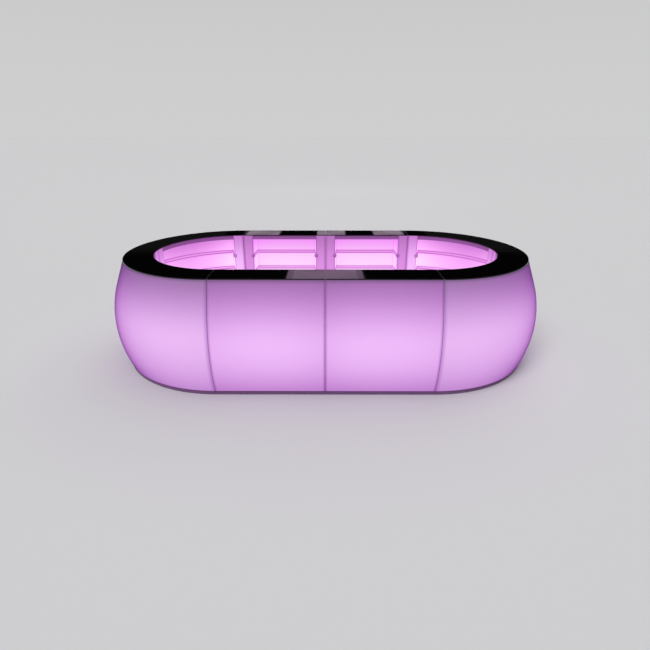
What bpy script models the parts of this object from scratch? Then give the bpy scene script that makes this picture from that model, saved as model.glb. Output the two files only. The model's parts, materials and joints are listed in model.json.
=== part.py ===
"""Illuminated oval bar counter, joined from straight and quarter-round modules.

Metres, +Z up. The origin is on the floor at the middle of the ring, and the ring is longest
along X. Each module is a hollow glowing moulding on a low steel base, with a black counter
top, a lamp that enters through a hatch in the floor, two levelling feet and a bolt that ties
its base to the next one.

A module's moulding, top and base are first made as a straight length: X runs along the
module, Y from the service side out to the guest side, and Z up. They are then laid along the
module's path, which is straight or a quarter turn.
"""

import math
from dataclasses import dataclass

import bmesh
import bpy
from mathutils import Matrix, Vector

# Ring
STRAIGHT_LENGTH = 1.02
INNER_RADIUS = 0.78
COUNTER_HEIGHT = 1.10
COUNTER_DEPTH = 0.295
BEND_STEPS = 10
QUARTER_TURN = math.pi / 2

# Clearances
FIT = 0.0003
SEAM = 0.001
PANEL_SEAM = 0.002
OVERCUT = 0.03

# Moulded shell
BASE_HEIGHT = 0.040
SHELL_WALL = 0.006
SHELL_EDGE = 0.004
SHARP_ANGLE = math.radians(40)
BELLY_OUT = 0.163
BELLY_HEIGHT = 0.455
STRAIGHT_TOP = 0.254
BARREL_STEPS = 7

# Storage recess on the service side
PILLAR_WIDTH = 0.118
RECESS_DEPTH = 0.24
RECESS_BOTTOM = 0.12
RECESS_TOP = 1.041
RECESS_DRAFT = math.radians(4.6)
BAND_DEPTH = 0.015

# Shelf ledges moulded round the recess, with round ends on the pillars
LEDGE_HEIGHTS = (0.63, 0.84)
LEDGE_TALL = 0.040
LEDGE_PROUD = 0.014
LEDGE_CHAMFER = 0.010
LEDGE_SETBACK = 0.002
LEDGE_END_RADIUS = 0.020
LEDGE_END_TIP = 0.016
LEDGE_END_PROUD = 0.010
LEDGE_END_SEAT = 0.004
LEDGE_END_SHIFT = 0.004
LEDGE_END_SIDES = 8

# Counter top
PANEL_THICKNESS = 0.010
PANEL_EDGE = 0.0015

# Base frame
BASE_SETBACK = 0.008
BASE_WALL = 0.003

# Levelling feet, which are wound in at rest and leave the weight to the base's rim
FOOT_LIFT = 0.0005
FOOT_INSET = 0.06
FOOT_RADIUS = 0.022
FOOT_THICKNESS = 0.008
FOOT_EDGE = 0.002
STEM_RADIUS = 0.005
STEM_LENGTH = 0.026
BOSS_RADIUS = 0.011
BORE_CLEARANCE = 0.0005
ROUND_SIDES = 10

# Lamp and its hatch
HATCH_RADIUS = 0.040
LAMP_DEPTH = 0.308
LAMP_FLANGE = 0.007
LAMP_CLEARANCE = 0.005
LAMP_RADIUS = 0.022
LAMP_LENGTH = 0.46
LAMP_NECK_LENGTH = 0.012
NECK_CLEARANCE = 0.002
INLET_RADIUS = 0.010
INLET_LENGTH = 0.012

# Bolt that ties two bases together
BOLT_DEPTH = 0.19
BOLT_RADIUS = 0.005
BOLT_HEAD_RADIUS = 0.009
BOLT_HEAD_LENGTH = 0.006

# Heights and depths that follow from the sizes above
SHELL_TOP = COUNTER_HEIGHT - PANEL_THICKNESS - FIT
SHELL_BOTTOM = BASE_HEIGHT
BASE_TOP = BASE_HEIGHT - FIT
END_ZONE = 4 * (SEAM + SHELL_WALL)

# Name, quarter turn or not, and the ring's side and row, in order round the ring
RING = (
    ("front_left", False, -1, -1),
    ("corner_front_left", True, -1, -1),
    ("corner_back_left", True, -1, 1),
    ("back_left", False, -1, 1),
    ("back_right", False, 1, 1),
    ("corner_back_right", True, 1, 1),
    ("corner_front_right", True, 1, -1),
    ("front_right", False, 1, -1),
)


@dataclass(frozen=True)
class Module:
    """One module of the ring: where it stands and which way its guest side faces."""

    name: str
    curved: bool
    facing: float
    origin: tuple

    @property
    def length(self):
        """Length of the module along its service face."""
        return INNER_RADIUS * QUARTER_TURN if self.curved else STRAIGHT_LENGTH

    def outward(self, along, out=0.0):
        """Direction angle of the guest side at a point of the module.

        Near the ends of a quarter turn a length is kept at every depth, so that end walls
        and seams stay as thick at the guest side as at the service side.
        """
        if not self.curved:
            return self.facing
        to_end = self.length / 2 - abs(along)
        if to_end < END_ZONE:
            angle = QUARTER_TURN / 2 - to_end / (INNER_RADIUS + out)
        else:
            angle = abs(along) / INNER_RADIUS
        return self.facing - math.copysign(angle, along)

    def place(self, along, out, height):
        """World position of a point of the straight-made form."""
        angle = self.outward(along, out)
        normal = Vector((math.cos(angle), math.sin(angle), 0.0))
        origin = Vector((*self.origin, height))
        if self.curved:
            return origin + normal * (INNER_RADIUS + out)
        tangent = Vector((normal.y, -normal.x, 0.0))
        return origin + tangent * along + normal * out


def ring_modules():
    """The modules in order round the ring, each followed by the one at its far end."""
    modules = []
    for name, curved, side, row in RING:
        if curved:
            facing = math.atan2(row, side)
            origin = (side * STRAIGHT_LENGTH, 0.0)
        else:
            facing = row * QUARTER_TURN
            origin = (side * STRAIGHT_LENGTH / 2, row * INNER_RADIUS)
        modules.append(Module(name, curved, facing, origin))
    return modules


def new_collection(name):
    """Empty collection in the scene."""
    collection = bpy.data.collections.new(name)
    bpy.context.scene.collection.children.link(collection)
    return collection


def finish(name, colour, roughness, metallic=0.0, glow=0.0):
    """Material with the surface's colour, roughness and metallic value."""
    material = bpy.data.materials.new(name)
    material.use_nodes = True
    shader = material.node_tree.nodes["Principled BSDF"]
    shader.inputs["Base Color"].default_value = (*colour, 1.0)
    shader.inputs["Roughness"].default_value = roughness
    shader.inputs["Metallic"].default_value = metallic
    shader.inputs["Emission Color"].default_value = (*colour, 1.0)
    shader.inputs["Emission Strength"].default_value = glow
    material.diffuse_color = (*colour, 1.0)
    return material


def mesh_from(bm, name):
    """Mesh datablock of a finished bmesh, with its faces pointing out."""
    bmesh.ops.recalc_face_normals(bm, faces=bm.faces)
    mesh = bpy.data.meshes.new(name)
    bm.to_mesh(mesh)
    bm.free()
    return mesh


def extruded(outline, travel, taper=(1.0, 1.0, 1.0)):
    """Solid with a flat outline carried along a vector, its far end scaled by the taper."""
    bm = bmesh.new()
    face = bm.faces.new([bm.verts.new(point) for point in outline])
    moved = bmesh.ops.extrude_face_region(bm, geom=[face])["geom"]
    far = [item for item in moved if isinstance(item, bmesh.types.BMVert)]
    bmesh.ops.translate(bm, verts=far, vec=travel)
    middle = sum((vert.co for vert in far), Vector()) / len(far)
    bmesh.ops.scale(bm, verts=far, vec=taper, space=Matrix.Translation(-middle))
    return bm


def block(low, high):
    """Box between two corners."""
    outline = [
        (low[0], low[1], low[2]), (high[0], low[1], low[2]),
        (high[0], high[1], low[2]), (low[0], high[1], low[2]),
    ]
    return extruded(outline, (0.0, 0.0, high[2] - low[2]))


def cylinder(radius, length, sides, tip=None):
    """Upright cylinder or cone on its own middle."""
    bm = bmesh.new()
    bmesh.ops.create_cone(
        bm, cap_ends=True, segments=sides, radius1=radius,
        radius2=radius if tip is None else tip, depth=length,
    )
    return bm


def joined(pieces, name):
    """One mesh of several closed pieces that don't touch."""
    whole = bmesh.new()
    for piece in pieces:
        loose = mesh_from(piece, "loose")
        whole.from_mesh(loose)
        bpy.data.meshes.remove(loose)
    return mesh_from(whole, name)


def carved(solid, steps):
    """Mesh of a solid after each step, a Boolean operation with its tool mesh, in turn."""
    work = bpy.data.objects.new("work", solid)
    helpers = [work]
    bpy.context.scene.collection.objects.link(work)
    for operation, tool in steps:
        helper = bpy.data.objects.new("tool", tool)
        bpy.context.scene.collection.objects.link(helper)
        helpers.append(helper)
        modifier = work.modifiers.new(operation.lower(), "BOOLEAN")
        modifier.operation = operation
        modifier.object = helper
        modifier.solver = "EXACT"
    depsgraph = bpy.context.evaluated_depsgraph_get()
    result = bpy.data.meshes.new_from_object(work.evaluated_get(depsgraph))
    for helper in helpers:
        bpy.data.objects.remove(helper)
    return result


def bent(straight, module, name):
    """Straight-made mesh cut into short lengths and laid along the module's path."""
    bm = bmesh.new()
    bm.from_mesh(straight)
    if module.curved:
        for step in range(1, BEND_STEPS):
            along = (step / BEND_STEPS - 0.5) * module.length
            geometry = bm.verts[:] + bm.edges[:] + bm.faces[:]
            bmesh.ops.bisect_plane(
                bm, geom=geometry, dist=1e-6, plane_co=(along, 0.0, 0.0), plane_no=(1.0, 0.0, 0.0),
            )
    bmesh.ops.triangulate(bm, faces=bm.faces)
    for vert in bm.verts:
        vert.co = module.place(*vert.co)
    mesh = bpy.data.meshes.new(name)
    bm.to_mesh(mesh)
    bm.free()
    return mesh


def add_part(collection, name, mesh, material):
    """Named sub-part with its material, shaded smooth between sharp edges."""
    part = bpy.data.objects.new(name, mesh)
    collection.objects.link(part)
    mesh.materials.clear()
    mesh.materials.append(material)
    mesh.shade_smooth()
    mesh.set_sharp_from_angle(angle=SHARP_ANGLE)
    return part


def cut_with(part, cutters, operation, mesh):
    """Boolean modifier on a part, with its tool kept in the cutters' collection."""
    tool = bpy.data.objects.new(mesh.name, mesh)
    tool.hide_render = True
    tool.display_type = "WIRE"
    cutters.objects.link(tool)
    modifier = part.modifiers.new(operation.lower(), "BOOLEAN")
    modifier.operation = operation
    modifier.object = tool
    modifier.solver = "EXACT"


def standing_at(bm, position, facing=0.0, lying=False):
    """Upright piece moved to its place, laid down along its facing direction if asked."""
    if lying:
        bmesh.ops.rotate(bm, verts=bm.verts, matrix=Matrix.Rotation(QUARTER_TURN, 3, "Y"))
    bmesh.ops.rotate(bm, verts=bm.verts, matrix=Matrix.Rotation(facing, 3, "Z"))
    bmesh.ops.translate(bm, verts=bm.verts, vec=position)
    return bm


def barrel_outline(along, inset, bottom, top):
    """Outline across the counter: a barrel arc that runs into a straight stretch at the top."""
    rise = SHELL_TOP - BELLY_HEIGHT
    radius = (rise ** 2 + BELLY_OUT ** 2 - STRAIGHT_TOP ** 2) / (2 * BELLY_OUT)
    centre = COUNTER_DEPTH + BELLY_OUT - radius
    upper = math.atan2(rise, radius - BELLY_OUT) - math.atan2(STRAIGHT_TOP, radius)
    radius -= inset
    lower = math.asin((bottom - BELLY_HEIGHT) / radius)
    tangent_out = centre + radius * math.cos(upper)
    tangent_height = BELLY_HEIGHT + radius * math.sin(upper)
    top_out = tangent_out - (top - tangent_height) * math.tan(upper)
    outline = [(along, inset, bottom), (along, inset, top), (along, top_out, top)]
    for step in range(BARREL_STEPS + 1):
        angle = upper + (lower - upper) * step / BARREL_STEPS
        outline.append((along, centre + radius * math.cos(angle), BELLY_HEIGHT + radius * math.sin(angle)))
    return outline


def foot_depth():
    """Depth of the guest side at the foot of the shell."""
    return barrel_outline(0.0, 0.0, SHELL_BOTTOM, SHELL_TOP)[-1][1]


def shell_body(module):
    """Outer form of the moulding with its edges eased."""
    end = module.length / 2 - SEAM
    bm = extruded(barrel_outline(-end, 0.0, SHELL_BOTTOM, SHELL_TOP), (2 * end, 0.0, 0.0))
    bmesh.ops.recalc_face_normals(bm, faces=bm.faces)
    sharp = [edge for edge in bm.edges if edge.calc_face_angle() > SHARP_ANGLE]
    bmesh.ops.bevel(bm, geom=sharp, offset=SHELL_EDGE, segments=1, affect="EDGES")
    return mesh_from(bm, "shell_body")


def shell_hollow(module):
    """Space inside the moulding, a wall's thickness in from its outer form."""
    end = module.length / 2 - SEAM - SHELL_WALL
    outline = barrel_outline(-end, SHELL_WALL, SHELL_BOTTOM + SHELL_WALL, SHELL_TOP - SHELL_WALL)
    return mesh_from(extruded(outline, (2 * end, 0.0, 0.0)), "shell_hollow")


def recess(module, grown):
    """Storage recess with its draft, grown by a wall's thickness on the lamp's side."""
    slope = math.tan(RECESS_DRAFT)
    mouth = OVERCUT * slope + grown
    half = module.length / 2 - PILLAR_WIDTH + mouth
    low = RECESS_BOTTOM - mouth
    high = RECESS_TOP + mouth
    depth = OVERCUT + RECESS_DEPTH + grown
    narrowing = depth * slope
    outline = [
        (-half, -OVERCUT, low), (half, -OVERCUT, low), (half, -OVERCUT, high), (-half, -OVERCUT, high),
    ]
    taper = (1 - narrowing / half, 1.0, 1 - 2 * narrowing / (high - low))
    return mesh_from(extruded(outline, (0.0, depth, 0.0), taper), "recess")


def band(module, grown):
    """Shallow set-back above the recess, up to the counter top."""
    half = module.length / 2 - PILLAR_WIDTH + grown
    low = (-half, -OVERCUT, RECESS_TOP - OVERCUT)
    return mesh_from(block(low, (half, BAND_DEPTH + grown, SHELL_TOP + OVERCUT)), "band")


def ledge_section(wall, height):
    """Section of a ledge that narrows from the wall it stands on towards its nose."""
    nose = LEDGE_TALL / 2 - LEDGE_CHAMFER
    root = nose + LEDGE_CHAMFER * (LEDGE_PROUD + OVERCUT) / LEDGE_PROUD
    front = wall - LEDGE_PROUD
    back = wall + OVERCUT
    return [(front, height - nose), (front, height + nose), (back, height + root), (back, height - root)]


def back_ledge(module, height):
    """Ledge along the recess's back wall."""
    half = module.length / 2
    outline = [(-half, out, level) for out, level in ledge_section(RECESS_DEPTH, height)]
    return mesh_from(extruded(outline, (2 * half, 0.0, 0.0)), "back_ledge")


def side_ledge(module, height, side):
    """Ledge along one side wall, from just behind the pillar's face to the back wall."""
    slope = math.tan(RECESS_DRAFT)
    wall = module.length / 2 - PILLAR_WIDTH - LEDGE_SETBACK * slope
    section = ledge_section(wall, height)
    outline = [(side * along, LEDGE_SETBACK, level) for along, level in section]
    reach = RECESS_DEPTH + OVERCUT - LEDGE_SETBACK
    return mesh_from(extruded(outline, (-side * reach * slope, reach, 0.0)), "side_ledge")


def ledge_ends(module):
    """Round ends of the ledges, standing a little proud of the pillars."""
    length = LEDGE_END_PROUD + LEDGE_END_SEAT
    edge = module.length / 2 - PILLAR_WIDTH + LEDGE_END_SHIFT
    ends = []
    for height in LEDGE_HEIGHTS:
        for along in (-edge, edge):
            end = cylinder(LEDGE_END_RADIUS, length, LEDGE_END_SIDES, LEDGE_END_TIP)
            place = module.place(along, LEDGE_END_SEAT - length / 2, height)
            inward = module.outward(along) + 2 * QUARTER_TURN
            ends.append(standing_at(end, place, inward, lying=True))
    return joined(ends, "ledge_ends_" + module.name)


def hatch_cutter(module):
    """Round hatch through the shell's floor, where the lamp goes in."""
    cutter = cylinder(HATCH_RADIUS, 2 * OVERCUT, ROUND_SIDES)
    place = module.place(0.0, LAMP_DEPTH, SHELL_BOTTOM)
    return joined([standing_at(cutter, place)], "hatch_" + module.name)


def make_shell(module, collection, cutters, material):
    """Hollow moulding of one module."""
    space_steps = []
    for height in LEDGE_HEIGHTS:
        space_steps.append(("DIFFERENCE", back_ledge(module, height)))
        space_steps += [("DIFFERENCE", side_ledge(module, height, side)) for side in (-1, 1)]
    open_space = carved(recess(module, 0.0), space_steps)
    hollow = carved(shell_hollow(module), [
        ("DIFFERENCE", recess(module, SHELL_WALL)),
        ("DIFFERENCE", band(module, SHELL_WALL)),
    ])
    straight = carved(shell_body(module), [
        ("DIFFERENCE", hollow),
        ("DIFFERENCE", open_space),
        ("DIFFERENCE", band(module, 0.0)),
    ])
    name = "shell_" + module.name
    shell = add_part(collection, name, bent(straight, module, name), material)
    cut_with(shell, cutters, "UNION", ledge_ends(module))
    cut_with(shell, cutters, "DIFFERENCE", hatch_cutter(module))


def make_top(module, collection, material):
    """Counter top panel with eased edges."""
    end = module.length / 2 - PANEL_SEAM
    low = (-end, 0.0, COUNTER_HEIGHT - PANEL_THICKNESS)
    bm = block(low, (end, COUNTER_DEPTH, COUNTER_HEIGHT))
    bmesh.ops.recalc_face_normals(bm, faces=bm.faces)
    bmesh.ops.bevel(bm, geom=bm.edges[:], offset=PANEL_EDGE, segments=1, affect="EDGES")
    name = "top_" + module.name
    add_part(collection, name, bent(mesh_from(bm, "panel"), module, name), material)


def foot_places(module):
    """Name and depth of the two feet at the module's far end."""
    return (("inner", FOOT_INSET), ("outer", foot_depth() - BASE_SETBACK - FOOT_INSET))


def foot_along(module):
    """Distance of the feet from the module's middle."""
    return module.length / 2 - FOOT_INSET


def make_base(module, collection, cutters, material):
    """Steel base frame: a rim and a deck, with bosses for the feet and clearance for the lamp."""
    end = module.length / 2 - SEAM
    guest_side = foot_depth() - BASE_SETBACK
    rim = block((-end, BASE_WALL, 0.0), (end, guest_side, BASE_TOP))
    low = (BASE_WALL - end, 2 * BASE_WALL, -OVERCUT)
    inside = block(low, (end - BASE_WALL, guest_side - BASE_WALL, BASE_TOP - BASE_WALL))
    straight = carved(mesh_from(rim, "rim"), [("DIFFERENCE", mesh_from(inside, "inside"))])
    name = "base_" + module.name
    base = add_part(collection, name, bent(straight, module, name), material)

    bosses = []
    holes = []
    boss_bottom = FOOT_LIFT + FOOT_THICKNESS + FIT
    boss_top = BASE_TOP - BASE_WALL / 2
    bore_top = BASE_TOP - BASE_WALL
    for _, out in foot_places(module):
        boss = cylinder(BOSS_RADIUS, boss_top - boss_bottom, ROUND_SIDES)
        place = module.place(foot_along(module), out, (boss_top + boss_bottom) / 2)
        bosses.append(standing_at(boss, place))
        bore = cylinder(STEM_RADIUS + BORE_CLEARANCE, bore_top, ROUND_SIDES)
        place = module.place(foot_along(module), out, bore_top / 2)
        holes.append(standing_at(bore, place))
    hatch = cylinder(HATCH_RADIUS + LAMP_FLANGE + LAMP_CLEARANCE, 2 * BASE_WALL + OVERCUT, ROUND_SIDES)
    holes.append(standing_at(hatch, module.place(0.0, LAMP_DEPTH, BASE_TOP)))
    for side in (-1, 1):
        along = side * module.length / 2
        bore = cylinder(BOLT_RADIUS + BORE_CLEARANCE, OVERCUT, ROUND_SIDES)
        place = module.place(along, BOLT_DEPTH, BASE_TOP / 2)
        facing = module.outward(along) + QUARTER_TURN
        holes.append(standing_at(bore, place, facing, lying=True))
    cut_with(base, cutters, "UNION", joined(bosses, "bosses_" + module.name))
    cut_with(base, cutters, "DIFFERENCE", joined(holes, "holes_" + module.name))


def make_turned(collection, name, profile, material):
    """Turned piece from its outline, which runs from the top of its axis to the bottom."""
    mesh = bpy.data.meshes.new(name)
    points = [(radius, 0.0, height) for radius, height in profile]
    mesh.from_pydata(points, [(index, index + 1) for index in range(len(points) - 1)], [])
    mesh.materials.append(material)
    piece = bpy.data.objects.new(name, mesh)
    collection.objects.link(piece)
    screw = piece.modifiers.new("turned", "SCREW")
    screw.steps = ROUND_SIDES
    screw.render_steps = ROUND_SIDES
    screw.use_merge_vertices = True
    screw.merge_threshold = 1e-5
    screw.use_smooth_shade = False
    return piece


def make_feet(module, collection, material):
    """Levelling feet, each a pad on a stem, wound fully into its boss."""
    stem_top = FOOT_THICKNESS + STEM_LENGTH
    profile = [
        (0.0, stem_top), (STEM_RADIUS, stem_top), (STEM_RADIUS, FOOT_THICKNESS),
        (FOOT_RADIUS - FOOT_EDGE, FOOT_THICKNESS), (FOOT_RADIUS, FOOT_THICKNESS - FOOT_EDGE),
        (FOOT_RADIUS, 0.0), (0.0, 0.0),
    ]
    for side, out in foot_places(module):
        foot = make_turned(collection, f"foot_{module.name}_{side}", profile, material)
        foot.location = module.place(foot_along(module), out, FOOT_LIFT)


def make_lamp(module, collection, material):
    """Lamp column on a hatch plate, with its power inlet underneath."""
    plate_top = SHELL_BOTTOM - FIT
    plate_bottom = plate_top - BASE_WALL
    neck = HATCH_RADIUS - NECK_CLEARANCE
    neck_top = plate_top + LAMP_NECK_LENGTH
    lamp_top = plate_top + LAMP_LENGTH
    profile = [
        (0.0, lamp_top), (LAMP_RADIUS, lamp_top), (LAMP_RADIUS, neck_top), (neck, neck_top),
        (neck, plate_top), (HATCH_RADIUS + LAMP_FLANGE, plate_top),
        (HATCH_RADIUS + LAMP_FLANGE, plate_bottom), (INLET_RADIUS, plate_bottom),
        (INLET_RADIUS, plate_bottom - INLET_LENGTH), (0.0, plate_bottom - INLET_LENGTH),
    ]
    lamp = make_turned(collection, "lamp_" + module.name, profile, material)
    lamp.location = module.place(0.0, LAMP_DEPTH, 0.0)


def make_bolt(module, collection, material):
    """Bolt through the end walls of two neighbouring bases, with a head on each side."""
    grip = SEAM + BASE_WALL + FIT
    head = grip + BOLT_HEAD_LENGTH
    profile = [
        (0.0, head), (BOLT_HEAD_RADIUS, head), (BOLT_HEAD_RADIUS, grip), (BOLT_RADIUS, grip),
        (BOLT_RADIUS, -grip), (BOLT_HEAD_RADIUS, -grip), (BOLT_HEAD_RADIUS, -head), (0.0, -head),
    ]
    bolt = make_turned(collection, "bolt_" + module.name, profile, material)
    along = module.length / 2
    bolt.location = module.place(along, BOLT_DEPTH, BASE_TOP / 2)
    bolt.rotation_euler = (QUARTER_TURN, 0.0, module.outward(along))


def build():
    """Clear the scene and build the counter."""
    for old in list(bpy.data.objects):
        bpy.data.objects.remove(old)
    collection = new_collection("bar_counter")
    cutters = new_collection("cutters")
    glowing = finish("glowing_polyethylene", (0.80, 0.47, 0.93), 0.45, glow=0.6)
    black = finish("black_laminate", (0.008, 0.007, 0.009), 0.08)
    steel = finish("coated_steel", (0.17, 0.07, 0.21), 0.5, 0.2)
    zinc = finish("zinc_plate", (0.55, 0.56, 0.58), 0.35, 0.9)
    opal = finish("opal_diffuser", (0.92, 0.88, 0.95), 0.4, glow=1.0)
    for module in ring_modules():
        make_shell(module, collection, cutters, glowing)
        make_top(module, collection, black)
        make_base(module, collection, cutters, steel)
        make_lamp(module, collection, opal)
        make_feet(module, collection, zinc)
        make_bolt(module, collection, zinc)


build()
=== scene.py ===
"""Finished look of an illuminated oval bar counter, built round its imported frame.

Metres, +Z up. The shell, the top and the base of each module are first made as straight
lengths: X runs along the module, Y from the service side out to the guest side. A geometry
nodes tree then lays them along the module's path, which is straight or a quarter turn.
"""

import json
import logging
import math
from dataclasses import KW_ONLY, dataclass, field
from enum import Enum
from functools import reduce
from typing import ClassVar

import bmesh
import bpy
from mathutils import Color, Matrix, Vector


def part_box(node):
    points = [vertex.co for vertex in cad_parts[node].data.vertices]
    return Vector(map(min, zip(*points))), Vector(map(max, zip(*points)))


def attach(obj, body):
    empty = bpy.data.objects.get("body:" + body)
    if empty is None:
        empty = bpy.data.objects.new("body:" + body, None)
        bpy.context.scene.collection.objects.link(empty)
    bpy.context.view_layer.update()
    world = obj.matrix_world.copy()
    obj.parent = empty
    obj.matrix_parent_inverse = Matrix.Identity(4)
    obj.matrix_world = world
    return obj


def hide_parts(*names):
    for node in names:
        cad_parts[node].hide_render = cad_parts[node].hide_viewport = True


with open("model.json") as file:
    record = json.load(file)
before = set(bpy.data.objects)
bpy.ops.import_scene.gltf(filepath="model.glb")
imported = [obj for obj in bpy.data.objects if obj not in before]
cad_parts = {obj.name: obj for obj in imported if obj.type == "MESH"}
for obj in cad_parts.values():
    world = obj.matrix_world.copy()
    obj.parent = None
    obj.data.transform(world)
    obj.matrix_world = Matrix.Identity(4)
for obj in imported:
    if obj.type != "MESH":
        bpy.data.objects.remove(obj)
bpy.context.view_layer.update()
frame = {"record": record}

BODY = "counter"
QUARTER_TURN = math.pi / 2
PHOTO_SIZE = 650
SHARP_ANGLE = math.radians(40)
MERGE_DISTANCE = 2e-5
CUT_TOLERANCE = 1e-6
ROUNDING_FLATS = 3
POST_SIDES = 32

Colour = tuple[float, float, float]
Pair = tuple[float, float]
Piece = tuple[bpy.types.Object, str, str]
Mesh = bpy.types.Mesh
Material = bpy.types.Material
Socket = bpy.types.NodeSocket
Outputs = bpy.types.bpy_prop_collection

BLACK = (0.0, 0.0, 0.0)

log = logging.getLogger("bar_counter")


def linear(*display: float) -> Colour:
    """Scene-linear colour of red, green and blue display values from 0 to 255."""
    return tuple(Color([value / 255 for value in display]).from_srgb_to_scene_linear())


class Region(Enum):
    """Stretches of a moulded shell that glow differently."""

    BARREL = 0
    PILLAR = 1
    RECESS = 2
    LEDGE = 3
    BAND = 4
    DECK = 5
    KNOB = 6


class Graph:
    """Short way to write nodes and links in a shader or geometry tree."""

    def __init__(self, tree: bpy.types.NodeTree) -> None:
        """Keep the tree that nodes are added to."""
        self.tree = tree

    def node(self, kind: str, inputs: dict | None = None, **settings: object) -> bpy.types.Node:
        """Add a node.

        Args:
            kind: Blender's identifier of the node type.
            inputs: Values or output sockets by input name or index.
            **settings: Properties of the node.

        Returns:
            The new node.
        """
        node = self.tree.nodes.new(kind)
        for name, value in settings.items():
            setattr(node, name, value)
        self.fill(node, inputs or {})
        return node

    def fill(self, node: bpy.types.Node, inputs: dict) -> None:
        """Link outputs to a node's inputs, or set the inputs' own values.

        Args:
            node: Node that receives them.
            inputs: Output sockets, numbers, tuples or datablocks by input name or index.
        """
        for name, value in inputs.items():
            if isinstance(value, Socket):
                self.tree.links.new(value, node.inputs[name])
            else:
                node.inputs[name].default_value = value

    def math(self, operation: str, *values: object) -> Socket:
        """Result of a Math node whose inputs take the values in order."""
        return self.node("ShaderNodeMath", dict(enumerate(values)), operation=operation).outputs[0]

    def times(self, *values: object) -> Socket:
        """Product of several numbers."""
        return reduce(lambda product, value: self.math("MULTIPLY", product, value), values)

    def gap(self, first: object, second: object) -> Socket:
        """Distance between two numbers."""
        return self.math("ABSOLUTE", self.math("SUBTRACT", first, second))

    def between(self, value: object, low: object, high: object, start: object = 0.0,
                end: object = 1.0) -> Socket:
        """Smooth change from a start to an end as a value runs from low to high."""
        inputs = {"Value": value, 1: low, 2: high, 3: start, 4: end}
        return self.node("ShaderNodeMapRange", inputs, interpolation_type="SMOOTHSTEP").outputs[0]

    def blend(self, share: object, first: object, second: object) -> Socket:
        """Number between two numbers, by the share of the second."""
        return self.node("ShaderNodeMix", {0: share, 2: first, 3: second}).outputs[0]

    def mix(self, share: object, first: Colour, second: Colour) -> Socket:
        """Colour between two colours, by the share of the second."""
        inputs = {0: share, 6: (*first, 1.0), 7: (*second, 1.0)}
        return self.node("ShaderNodeMix", inputs, data_type="RGBA").outputs[2]

    def noise(self, place: object, scale: object, detail: float) -> Socket:
        """Noise of about 0.5, with its waves per metre and its number of finer layers."""
        inputs = {"Vector": place, "Scale": scale, "Detail": detail}
        return self.node("ShaderNodeTexNoise", inputs).outputs["Fac"]

    def attribute(self, name: str) -> Socket:
        """Number that the mesh stores under a name."""
        return self.node("ShaderNodeAttribute", attribute_name=name).outputs["Fac"]

    def place(self) -> Socket:
        """Object coordinates."""
        return self.node("ShaderNodeTexCoord").outputs["Object"]

    def height(self) -> Socket:
        """Height above the floor."""
        return self.node("ShaderNodeSeparateXYZ", {0: self.place()}).outputs["Z"]


class EffectGroup:
    """Shader node group of numbers that several finishes share."""

    def __init__(self, name: str, inputs: dict[str, float]) -> None:
        """Open the group.

        Args:
            name: Name of the group.
            inputs: Default by input name.
        """
        self.graph = Graph(bpy.data.node_groups.new(name, "ShaderNodeTree"))
        for label, default in inputs.items():
            self.socket(label, "INPUT").default_value = default
        self.given = self.graph.node("NodeGroupInput").outputs

    def socket(self, label: str, way: str) -> bpy.types.NodeTreeInterfaceSocket:
        """New socket of the group."""
        face = self.graph.tree.interface
        return face.new_socket(label, in_out=way, socket_type="NodeSocketFloat")

    def closed(self, results: dict[str, Socket]) -> "EffectGroup":
        """Give the group its outputs.

        Args:
            results: Value by output name.

        Returns:
            The group itself.
        """
        for label in results:
            self.socket(label, "OUTPUT")
        self.graph.node("NodeGroupOutput", results)
        return self

    def placed(self, graph: Graph, values: dict[str, object]) -> Outputs:
        """Outputs of the group in a material, given the inputs that differ from their defaults."""
        return graph.node("ShaderNodeGroup", values, node_tree=self.graph.tree).outputs


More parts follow.
